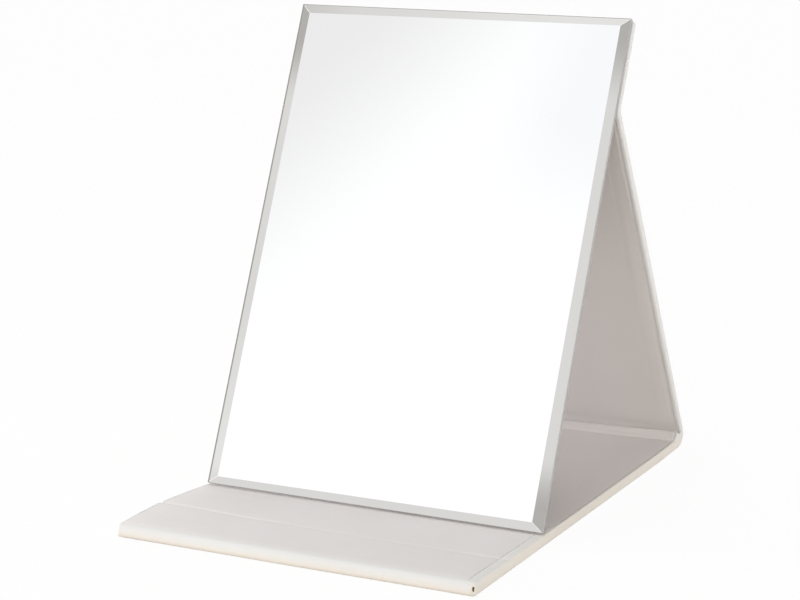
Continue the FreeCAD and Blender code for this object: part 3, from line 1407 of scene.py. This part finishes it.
@dataclass
class FoldStrip:
    """Part of the cover that crosses a hinge: a bent skin and the bent lining on it."""

    name: str
    bodies: tuple[Body, Body]
    outer: Profile
    inner: Callable[[float], Profile]
    start: Span
    end: Span
    skin_node: str = ""
    liner_node: str = ""
    pucker: float = 0.0
    pucker_in: Span = (90.0, 93.5)
    pucker_out: Span = (98.6, 97.6)
    taper: Span = (0.0, 0.0)  # at the start and at the end
    section: EdgeSection = EdgeSection()
    recess_x: float = 98.65
    recess_depth: float = 0.45
    sheet_x: float = 98.3

    def stations(self) -> list[float]:
        """Places of the cuts along the strip, from 0 to 1."""
        count = 3 * (len(self.outer) - 1)
        return [i / count for i in range(1, count)]

    def gather(self, x: float, t: float) -> float:
        """Depth of the small gathers at the two ends of the bend, in millimetres.

        Args:
            x: place across the strip, in millimetres.
            t: place along the bend, from 0 to 1.

        Returns:
            The depth.
        """
        mid = 1 - abs(2 * t - 1) ** 3
        band = ease(*self.pucker_in, abs(x)) * ease(*self.pucker_out, abs(x))
        return self.pucker * band * mid * (0.6 + waver(x / 1.3, t * 2.5, 9.0))

    def narrow(self, x: float, t: float) -> float:
        """Draws the lining's edge in where the border widens along the strip, in metres.

        Args:
            x: place across the strip, in metres.
            t: place along the bend, from 0 to 1.

        Returns:
            The new x, in metres.
        """
        drop = self.taper[0] + (self.taper[1] - self.taper[0]) * t
        inside = abs(x) < (self.recess_x + WALL_RUN + NEAR) * MM
        return x * (1 - drop / self.recess_x) if inside else x

    def settle(self, piece: Object, node: str, slot: Slot) -> None:
        """Bakes a piece's place into its mesh, hides the CAD node that it stands for, and logs the two
        bodies it lies between.

        Args:
            piece: the finished piece.
            node: the CAD node that it stands for, or nothing.
        """
        a, b = (body.value for body in self.bodies)
        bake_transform(piece)
        if node:
            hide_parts(node)
        report(piece, f"{a} and {b}")

    def shape_skin(self, co: Vector) -> Vector:
        """Where a vertex of the straight strip goes on the bend, in metres.

        Args:
            co: the vertex: across in metres, along the bend from 0 to 1.

        Returns:
            Its new place.
        """
        share = co.z / MM / self.section.thick
        top, under = spline(self.inner(co.x / MM), co.y), spline(self.outer, co.y)
        if share > TOP_SHARE and abs(co.x) < (self.recess_x + NEAR) * MM:
            top += (under - top).normalized() * (self.recess_depth + self.gather(co.x / MM, co.y)) * MM
        spot = under.lerp(top, share)
        return Vector((self.narrow(co.x, co.y), spot.y, spot.z))

    def shape_lining(self, co: Vector) -> Vector:
        """Where a vertex of the flat sheet goes on the bend, in metres.

        Args:
            co: the vertex: across in metres, along the bend from 0 to 1.

        Returns:
            Its new place.
        """
        x, upper = co.x / MM, co.z > 0
        top, under = spline(self.inner(x), co.y), spline(self.outer, co.y)
        depth = (-0.02 if upper else self.recess_depth - 0.03) + self.gather(x, co.y)
        if upper and abs(x) > self.sheet_x - SHEET_LIP:
            depth += LIP_DROP
        spot = top + (under - top).normalized() * depth * MM
        return Vector((self.narrow(co.x, co.y), spot.y, spot.z))

    def skin(self, palette: Palette) -> Object:
        """Builds the bent skin.

        Args:
            palette: the finishes.

        Returns:
            The piece.
        """
        bm = self.section.strip(0.0, 1.0)
        cut(bm, 1, self.stations())
        cut(bm, 2, [self.section.thick * MM * k for k in (0.35, 0.5, 0.65)])
        cut(bm, 0, mm(both_sides(self.recess_x, self.recess_x + WALL_RUN) + self.columns()))
        reshape(bm, self.shape_skin)
        piece = finish_mesh(bm, self.name, [palette.leatherette])
        self.settle(piece, self.skin_node, Slot.LEATHERETTE)
        return piece

    def lining(self, palette: Palette) -> Object:
        """Builds the bent lining.

        Args:
            palette: the finishes.

        Returns:
            The piece.
        """
        bm = block(2 * self.sheet_x * MM, 0.0, 1.0, -SHEET_HALF * MM, SHEET_HALF * MM)
        cut(bm, 1, self.stations())
        cut(bm, 0, mm(both_sides(self.sheet_x - SHEET_CUT) + self.columns()))
        reshape(bm, self.shape_lining)
        piece = finish_mesh(bm, self.name + "_lining", [palette.lining])
        self.settle(piece, self.liner_node, Slot.LINING)
        return piece

    def columns(self) -> list[float]:
        """Places of the cuts across the strip, in millimetres: finer where it gathers."""
        fine = both_sides(*(90.0 + 0.6 * i for i in range(14))) if self.pucker else both_sides(92.0)
        return fine + steps(-89.0, 89.0, CUT_STEP)


@dataclass
class Cover:
    """The whole leatherette cover, from the nose of the base to the top of the mount."""

    plan: FoldPlan
    palette: Palette
    strut_t: float = 3.6
    strut_from: float = 8.0
    strut_to: float = 6.0
    mount_from: float = 5.0
    mount_l: float = 49.9
    band_front: float = 143.4
    band_lip: float = 148.5
    band_top: float = 10.15
    band_slack: Span = (4.1, 1.65)  # forwards and down
    flat_z: float = 5.75
    half_slack: float = 95.0
    roll_x: Span = (82.0, 45.0)
    groin_y: Span = (152.15, 154.1)
    groin_z: float = 12.4
    groin_slope: float = 0.63
    groin_drop: float = 1.2
    upper_line: Profile = ((152.95, 11.13), (151.35, 13.67), (149.75, 16.2))
    spine_low: Profile = (
        (137.0, 0.0), (140.0, 0.0), (142.5, 0.0), (145.0, 0.0), (147.5, 0.0),
        (150.2, 0.08), (152.8, 0.5), (155.5, 1.6), (157.7, 3.5), (158.75, 6.1),
    )
    spine_high: Profile = ((158.75, 6.1), (157.95, 9.2), (156.2, 12.75), (153.75, 16.65))
    strut_belly: Profile = (
        (0.0, 0.0), (30.0, 0.3), (90.0, 0.7), (150.0, 1.35), (200.0, 0.2), (223.0, 0.0),
    )
    mount_belly: Profile = ((0.0, 0.0), (20.0, 0.25), (40.0, 0.2), (44.5, 0.0))

    def strut(self) -> StandPanel:
        """The strut, which the skin bellies out from behind.

        Returns:
            The panel.
        """
        b, c = self.plan.hinge_b / MM, self.plan.hinge_c / MM
        return StandPanel(
            "strut", Body.STRUT, b + self.strut_from, c - self.strut_to, self.strut_t,
            "strut_outer_skin", "strut_liner", self.strut_belly,
        )

    def mount(self) -> StandPanel:
        """The mount, which the glass is taped to.

        Returns:
            The panel.
        """
        c = self.plan.hinge_c / MM
        return StandPanel(
            "mount", Body.MIRROR, c + self.mount_from, c + self.mount_l, self.strut_t,
            "mount_outer_skin", "mount_liner", self.mount_belly, closed_end=True, with_lining=False,
        )

    def band(self, x: float) -> Span:
        """Where the slack band leaves the base, and how high its lip stands, at a distance across."""
        slack = max(0.0, 1 - (x / self.half_slack) ** 2)
        return self.band_front - self.band_slack[0] * slack, self.band_top - self.band_slack[1] * slack

    def groin(self, x: float) -> Span:
        """The deep line behind the lip, where the lining meets the strut's, in millimetres.

        Args:
            x: place across the strip, in millimetres.

        Returns:
            Its (y, z) place.
        """
        low = self.band(x)[1] - self.groin_drop
        near, far = self.groin_y
        return min(far, near + (self.groin_z - low) * self.groin_slope), low

    def lower_inner(self, x: float) -> Profile:
        """Inner line from the base to the deep line of the spine: two soft rolls and a lip, in metres.

        Args:
            x: place across the strip, in millimetres.

        Returns:
            The line's points.
        """
        front, top = self.band(x)
        run, climb = self.band_lip - front, top - self.flat_z
        roll = ease(*self.roll_x, abs(x))
        rolls = ((0.30, 0.31 + 0.27 * roll), (0.42, 0.43 - 0.25 * roll), (0.72, 0.74 + 0.09 * roll))
        return profile_mm([
            (137.0, 5.7), (front - 1.3, 5.68), (front, self.flat_z),
            *((front + run * along_run, self.flat_z + climb * up) for along_run, up in rolls),
            (self.band_lip, top), (self.band_lip + 0.9, top - 1.3), (self.band_lip + 3.2, top - 1.7),
            self.groin(x),
        ])

    def upper_inner(self, x: float) -> Profile:
        """Inner line from the deep line of the spine up the strut, in metres.

        Args:
            x: place across the strip, in millimetres.

        Returns:
            The line's points.
        """
        strut = self.plan.point(Body.STRUT, self.plan.hinge_b + self.strut_from * MM, self.strut_t * MM)
        return profile_mm([self.groin(x), *self.upper_line]) + [strut]

    def rear_folds(self) -> list[FoldStrip]:
        """The two bends round the spine, which meet half way up it.

        Returns:
            The lower and the upper bend.
        """
        strut = self.plan.point(Body.STRUT, self.plan.hinge_b + self.strut_from * MM, 0.0)
        low, high = profile_mm(self.spine_low), profile_mm(self.spine_high) + [strut]
        return [
            FoldStrip(
                "rear_fold_lower", (Body.BASE, Body.SPINE), low, self.lower_inner,
                (150.0 * MM, 1.0 * MM), (155.6 * MM, 7.6 * MM), "spine_outer_skin", "spine_liner", 0.7,
            ),
            FoldStrip(
                "rear_fold_upper", (Body.SPINE, Body.STRUT), high, self.upper_inner,
                (156.0 * MM, 10.4 * MM), (152.4 * MM, 17.2 * MM), taper=(0.0, 1.0),
                section=STAND_EDGE,
            ),
        ]

    def apex_fold(self) -> FoldStrip:
        """The bend between the strut and the mount, with its crease on the outside.

        Returns:
            The bend.
        """
        c = self.plan.hinge_c
        at = self.plan.point
        low, up = self.strut_to * MM, self.mount_from * MM
        thick = self.strut_t * MM
        outer = [at(Body.STRUT, c - low * k, 0.0) for k in (1.0, 0.55, 0.2)]
        outer += [at(Body.MIRROR, c + up * k, 0.0) for k in (0.2, 0.55, 1.0)]
        pivot = Vector((0, *at(Body.STRUT, c, self.plan.axis_z)))
        inner = [at(Body.STRUT, c - low * k, thick) for k in (1.0, 0.5)]
        for body in (Body.STRUT, Body.MIRROR):
            edge = Vector((0, *at(body, c, thick))) - pivot
            spot = pivot + edge * 0.96
            inner.append((spot.y, spot.z))
        inner += [at(Body.MIRROR, c + up * k, thick) for k in (0.5, 1.0)]
        return FoldStrip(
            "apex_fold", (Body.STRUT, Body.MIRROR), outer, lambda x: inner,
            at(Body.STRUT, c - 3.5 * MM, 1.5 * MM), at(Body.MIRROR, c + 3.5 * MM, 1.5 * MM),
            taper=(1.0, 1.0), section=STAND_EDGE,
        )

    def build(self) -> None:
        """Builds every piece of the cover."""
        base = BasePanel()
        base.cover(self.palette)
        base.lining(self.palette)
        for panel in (self.strut(), self.mount()):
            panel.cover(self.plan, self.palette)
            if panel.with_lining:
                panel.lining(self.plan, self.palette)
        for strip in (*self.rear_folds(), self.apex_fold()):
            strip.skin(self.palette)
            strip.lining(self.palette)


# ---------------------------------------------------------------- mirror


@dataclass
class MirrorPane:
    """Bevelled glass; each corner gives how far its bevel reaches in across and along."""

    plan: FoldPlan
    palette: Palette
    width: float = 199.0
    height: float = 279.0
    thick: float = 3.0
    back_z: float = 4.69
    top_left: Span = (5.8, 5.4)
    top_right: Span = (5.2, 4.5)
    foot_left: Span = (6.1, 4.1)
    foot_right: Span = (6.2, 4.7)
    bevel_d: float = 0.8
    arris: float = 0.18
    mitre: float = 0.32
    paint: float = 0.45
    line: tuple[float, float, float] = (1.1, 0.2, 0.4)  # left, right and top
    top_above_c: float = 50.0

    @property
    def top_y(self) -> float:
        """Where the top of the glass lies on the open strip, in millimetres."""
        return self.plan.hinge_c / MM + self.top_above_c

    def corner(self, right: bool, top: bool) -> Span:
        """Reach of the bevel across and along the glass at one corner.

        Args:
            right: whether the corner is on the right.
            top: whether it is at the top.

        Returns:
            The two reaches, in millimetres.
        """
        if top:
            return self.top_right if right else self.top_left
        return self.foot_right if right else self.foot_left

    def plate(self, y0: float, y1: float) -> BMesh:
        """Makes the pane with its bevel, lying open.

        Args:
            y0: its foot, in millimetres.
            y1: its top, in millimetres.

        Returns:
            The pane's mesh.
        """
        z1 = self.back_z + self.thick
        bm = block(self.width * MM, y0 * MM, y1 * MM, self.back_z * MM, z1 * MM)
        mid = (y0 + y1) / 2 * MM
        face = max(bm.faces, key=lambda f: f.calc_center_median().z)
        bmesh.ops.inset_region(
            bm, faces=[face], thickness=self.bevel_d * MM, depth=0.0, use_even_offset=True
        )
        for vert in face.verts:
            right, top = vert.co.x > 0, vert.co.y > mid
            reach_x, reach_y = self.corner(right, top)
            vert.co.x = (self.width / 2 - reach_x) * MM * (1 if right else -1)
            vert.co.y = (y1 - reach_y if top else y0 + reach_y) * MM
        rim = [v for v in bm.verts if v.co.z > (z1 - 0.1) * MM and v not in face.verts]
        bmesh.ops.translate(bm, verts=rim, vec=(0, 0, -self.bevel_d * MM))
        bmesh.ops.recalc_face_normals(bm, faces=bm.faces)
        return bm

    def facet(self, part: bmesh.types.BMFace) -> PaneFace:
        """Which face of the glass a face of the mesh, lying open, belongs to.

        Args:
            part: the face.

        Returns:
            The face of the glass.
        """
        normal = part.normal
        if normal.z > FLAT:
            return PaneFace.FRONT
        if normal.z < TILTED:
            low = part.calc_center_median().z < (self.back_z + self.paint) * MM
            return PaneFace.PAINT if low else PaneFace.RIM
        if self.is_line(part.calc_center_median() / MM):
            return PaneFace.LINE
        if min(abs(normal.x), abs(normal.y)) > 0.04:
            return PaneFace.MITRE
        if abs(normal.x) > abs(normal.y):
            return PaneFace.RIGHT if normal.x > 0 else PaneFace.LEFT
        return PaneFace.TOP if normal.y > 0 else PaneFace.FOOT

    def is_line(self, spot: Vector) -> bool:
        """Whether a spot of the bevel lies in the dark line along its outer edge, at the sides and the
        top.

        Args:
            spot: the spot on the open strip, in millimetres.

        Returns:
            Whether it does.
        """
        left, right, top = self.line
        across = left - self.width / 2 < spot.x < self.width / 2 - right
        return not (across and spot.y < self.top_y - top)

    def build(self) -> Object:
        """Builds the pane with its ground bevel and rim.

        Returns:
            The piece.
        """
        bm = self.plate(self.top_y - self.height, self.top_y)
        rim = [e for e in bm.edges if any(abs(f.normal.z) < 0.5 for f in e.link_faces)]
        bevel(bm, rim, self.arris * MM)
        mitres = [e for e in bm.edges if all(TILTED < f.normal.z < FLAT for f in e.link_faces)]
        bevel(bm, mitres, self.mitre * MM / 2)
        left, right, top = self.line
        cut(bm, 2, mm([self.back_z + self.paint]))
        cut(bm, 0, mm([left - self.width / 2, self.width / 2 - right]))
        cut(bm, 1, mm([self.top_y - top]))
        bmesh.ops.recalc_face_normals(bm, faces=bm.faces)
        for part in bm.faces:
            part.material_index = self.facet(part).value
        self.plan.fold(bm, Body.MIRROR)
        finishes = [self.palette.pane[face] for face in PaneFace]
        piece = finish_mesh(bm, "mirror_pane", finishes, None, 1e-7, math.radians(0.5))
        return settle(piece, Body.MIRROR, "mirror_glass")


def dress_nodes(nodes: dict[str, Object], palette: Palette) -> None:
    """Gives every CAD node its finish by the end of its name; the tape strips are the rest.

    Args:
        nodes: the frame's nodes by name.
        palette: the finishes.
    """
    finishes = {
        "_board": palette.greyboard,
        "_padding": palette.foam,
        "_film": palette.backing,
        "_coat": palette.silver,
        "_glass": palette.pane[PaneFace.FRONT],
        "_liner": palette.lining,
        "_skin": palette.leatherette,
    }
    for name, node in nodes.items():
        finish = next((finishes[end] for end in finishes if name.endswith(end)), palette.tape)
        node.data.materials.clear()
        node.data.materials.append(finish)
        LOG.info("%s: %s", name, finish.name)


# ---------------------------------------------------------------- studio


@dataclass(frozen=True)
class Lamp:
    """Square soft lamp that faces the mirror: its place and side in metres, its power in watts."""

    name: str
    place: tuple[float, float, float]
    side: float
    power: float
    tint: Colour
    aim: tuple[float, float, float] = (0.0, 0.0, 0.1)

    def hang(self) -> None:
        """Hangs the lamp."""
        data = bpy.data.lights.new(self.name, "AREA")
        data.shape, data.size, data.energy, data.color = "SQUARE", self.side, self.power, self.tint
        lamp = bpy.data.objects.new(self.name, data)
        bpy.context.scene.collection.objects.link(lamp)
        way = Vector(self.aim) - Vector(self.place)
        turn = way.to_track_quat("-Z", "Y").to_matrix().to_4x4()
        lamp.matrix_world = Matrix.Translation(self.place) @ turn
        lamp.visible_camera = lamp.visible_glossy = lamp.visible_transmission = False


@dataclass(frozen=True)
class Surroundings:
    """Colour of the studio by direction; every span of degrees is a soft edge.

    Turn is measured from straight ahead of the mirror, rise from level, and slant is the rise less a
    share of the turn.
    """

    wall: Colour = (0.735, 0.73, 0.72)
    ceiling: Colour = (0.82, 0.815, 0.805)
    haze: Colour = (0.862, 0.86, 0.86)
    panel: Colour = (1.045, 1.045, 1.05)
    cool_patch: Colour = (0.965, 0.975, 1.0)
    slope: float = 1.8
    front_turn: Span = (-6.0, -17.0)
    front_rise: Span = (9.5, 17.0)
    ceiling_turn: Span = (-46.0, -38.0)
    ceiling_rise: Span = (42.0, 52.0)
    haze_slant: Span = (116.0, 103.0)
    panel_slant: Span = (98.5, 87.0)
    cool_left: Span = (-29.5, -26.0)
    cool_right: Span = (-17.0, -22.0)
    cool_rise: Span = (33.0, 36.5)

    def colour(self, t: NodeTools, way: NodeSocket) -> NodeSocket:
        """One bright panel with a soft slanting edge, before grey walls.

        Args:
            t: tools of the world's tree.
            way: the direction that is looked in.

        Returns:
            The colour's socket.
        """
        x, y, z = t.axes(way)
        turn = t.times(t.math("ARCTAN2", x, t.times(y, -1.0)), math.degrees(1.0))
        rise = t.times(t.math("ARCSINE", z), math.degrees(1.0))
        slant = t.math("SUBTRACT", rise, t.times(turn, self.slope))
        front = t.times(t.ramp(turn, *self.front_turn), t.ramp(rise, *self.front_rise))
        above = t.times(t.ramp(rise, *self.ceiling_rise), t.ramp(turn, *self.ceiling_turn))
        walls = t.mix(above, self.wall, self.ceiling)
        haze = t.mix(t.times(t.ramp(slant, *self.haze_slant), front), walls, self.haze)
        panel = t.mix(t.times(t.ramp(slant, *self.panel_slant), front), haze, self.panel)
        cool = t.times(t.ramp(turn, *self.cool_left), t.ramp(rise, *self.cool_rise))
        return t.mix(t.times(cool, t.ramp(turn, *self.cool_right)), panel, self.cool_patch)


@dataclass
class Studio:
    """Camera, floor, lamps and the surroundings that the mirror shows, in metres and degrees."""

    place: tuple[float, float, float] = (0.4955, -1.0698, 0.3446)
    azimuth: float = 25.53
    elevation: float = 11.38
    roll: float = 0.73
    lens: float = 98.2
    sensor: float = 36.0
    clip: Span = (0.01, 60.0)
    floor_size: float = 24.0
    floor_drop: float = 0.00005
    floor_colour: Colour = (0.84, 0.81, 0.775)
    floor_pale: Colour = (0.98, 0.98, 0.98)
    floor_shadow: float = 0.06
    low_light: Colour = (1.22, 1.205, 1.19)
    high_light: Colour = (0.87, 0.865, 0.865)
    far_side: tuple[float, float, float] = (0.93, 0.30, 0.20)
    far_shade: float = 0.8
    surroundings: Surroundings = Surroundings()
    lamps: tuple[Lamp, ...] = (
        Lamp("key", (0.1, -2.4, 1.0), 1.6, 6.6, (1.0, 0.995, 0.99)),
        Lamp("fill", (-1.5, -0.38, 0.14), 0.7, 18.0, (1.0, 0.985, 0.965)),
        Lamp("side", (1.35, 0.12, 0.13), 0.35, 6.0, (1.0, 1.0, 1.0)),
    )

    def camera(self) -> None:
        """Sets the camera up."""
        data = bpy.data.cameras.new("camera")
        data.lens, data.sensor_width, data.sensor_fit = self.lens, self.sensor, "HORIZONTAL"
        data.clip_start, data.clip_end = self.clip
        cam = bpy.data.objects.new("camera", data)
        bpy.context.scene.collection.objects.link(cam)
        az, el = math.radians(self.azimuth), math.radians(self.elevation)
        back = Vector((math.sin(az) * math.cos(el), -math.cos(az) * math.cos(el), math.sin(el)))
        level = back.to_track_quat("Z", "Y").to_matrix().to_4x4()
        turn = Matrix.Rotation(math.radians(self.roll), 4, "Z")
        cam.matrix_world = Matrix.Translation(self.place) @ level @ turn
        bpy.context.scene.camera = cam

    def floor(self) -> None:
        """Lays a pale floor that the camera sees as white, with the soft shadow of the mirror."""
        bm = bmesh.new()
        bmesh.ops.create_grid(bm, x_segments=1, y_segments=1, size=self.floor_size / 2)
        bmesh.ops.translate(bm, verts=bm.verts, vec=(0, 0, -self.floor_drop))
        f = Finish("floor")
        t = f.t
        f.set(Base_Color=self.floor_colour, Roughness=0.9, Specular_IOR_Level=0.0)
        white = t.add("ShaderNodeEmission", Strength=1.0, Color=(1.0, 1.0, 1.0, 1.0))
        pale = t.add("ShaderNodeBsdfDiffuse", Color=(*self.floor_pale, 1.0))
        seen = t.mix_shaders(self.floor_shadow, white.outputs[0], pale.outputs[0])
        ray = t.add("ShaderNodeLightPath").outputs
        direct = t.largest(ray["Is Camera Ray"], ray["Is Glossy Ray"], ray["Is Transmission Ray"])
        t.join(t.mix_shaders(direct, f.shader.outputs[0], seen), f.out.inputs["Surface"])
        finish_mesh(bm, "floor", [f.material])

    def world(self) -> None:
        """Plain soft light all round; the mirror and the camera see a white studio."""
        world = bpy.data.worlds.new("studio")
        bpy.context.scene.world = world
        world.use_nodes = True
        world.node_tree.nodes.clear()
        t = NodeTools(world.node_tree)
        way = t.add("ShaderNodeTexCoord").outputs["Generated"]
        sky = t.mix(t.ramp(t.axes(way)["Z"], 0.0, 1.0, smooth=False), self.low_light, self.high_light)
        aim = t.add("ShaderNodeVectorMath", operation="DOT_PRODUCT")
        t.join(way, aim.inputs[0])
        aim.inputs[1].default_value = self.far_side
        shade = t.times(t.ramp(aim.outputs["Value"], 0.0, 1.0), self.far_shade)
        lights = (t.mix(shade, sky, (0.0, 0.0, 0.0)), self.surroundings.colour(t, way), (1.0, 1.0, 1.0))
        ambient, shown, white = (t.add("ShaderNodeBackground", Strength=1.0) for _ in lights)
        for node, light in zip((ambient, shown, white), lights):
            t.join(light, node.inputs["Color"])
        ray = t.add("ShaderNodeLightPath").outputs
        glossy = t.largest(ray["Is Glossy Ray"], ray["Is Transmission Ray"])
        first = t.mix_shaders(glossy, ambient.outputs[0], shown.outputs[0])
        second = t.mix_shaders(ray["Is Camera Ray"], first, white.outputs[0])
        t.join(second, t.add("ShaderNodeOutputWorld").inputs["Surface"])

    def build(self) -> None:
        """Builds the studio."""
        self.camera()
        self.floor()
        self.world()
        for lamp in self.lamps:
            lamp.hang()
        bpy.context.scene.view_settings.view_transform = "Standard"


def main() -> None:
    """Dresses the frame and sets the studio up."""
    logging.basicConfig(level=logging.INFO, format="%(name)s %(message)s")
    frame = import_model()
    plan = FoldPlan.from_joints(frame["joints"])
    palette = Palette.make()
    dress_nodes(frame["nodes"], palette)
    Cover(plan, palette).build()
    MirrorPane(plan, palette).build()
    Studio().build()


if __name__ == "__main__":
    main()
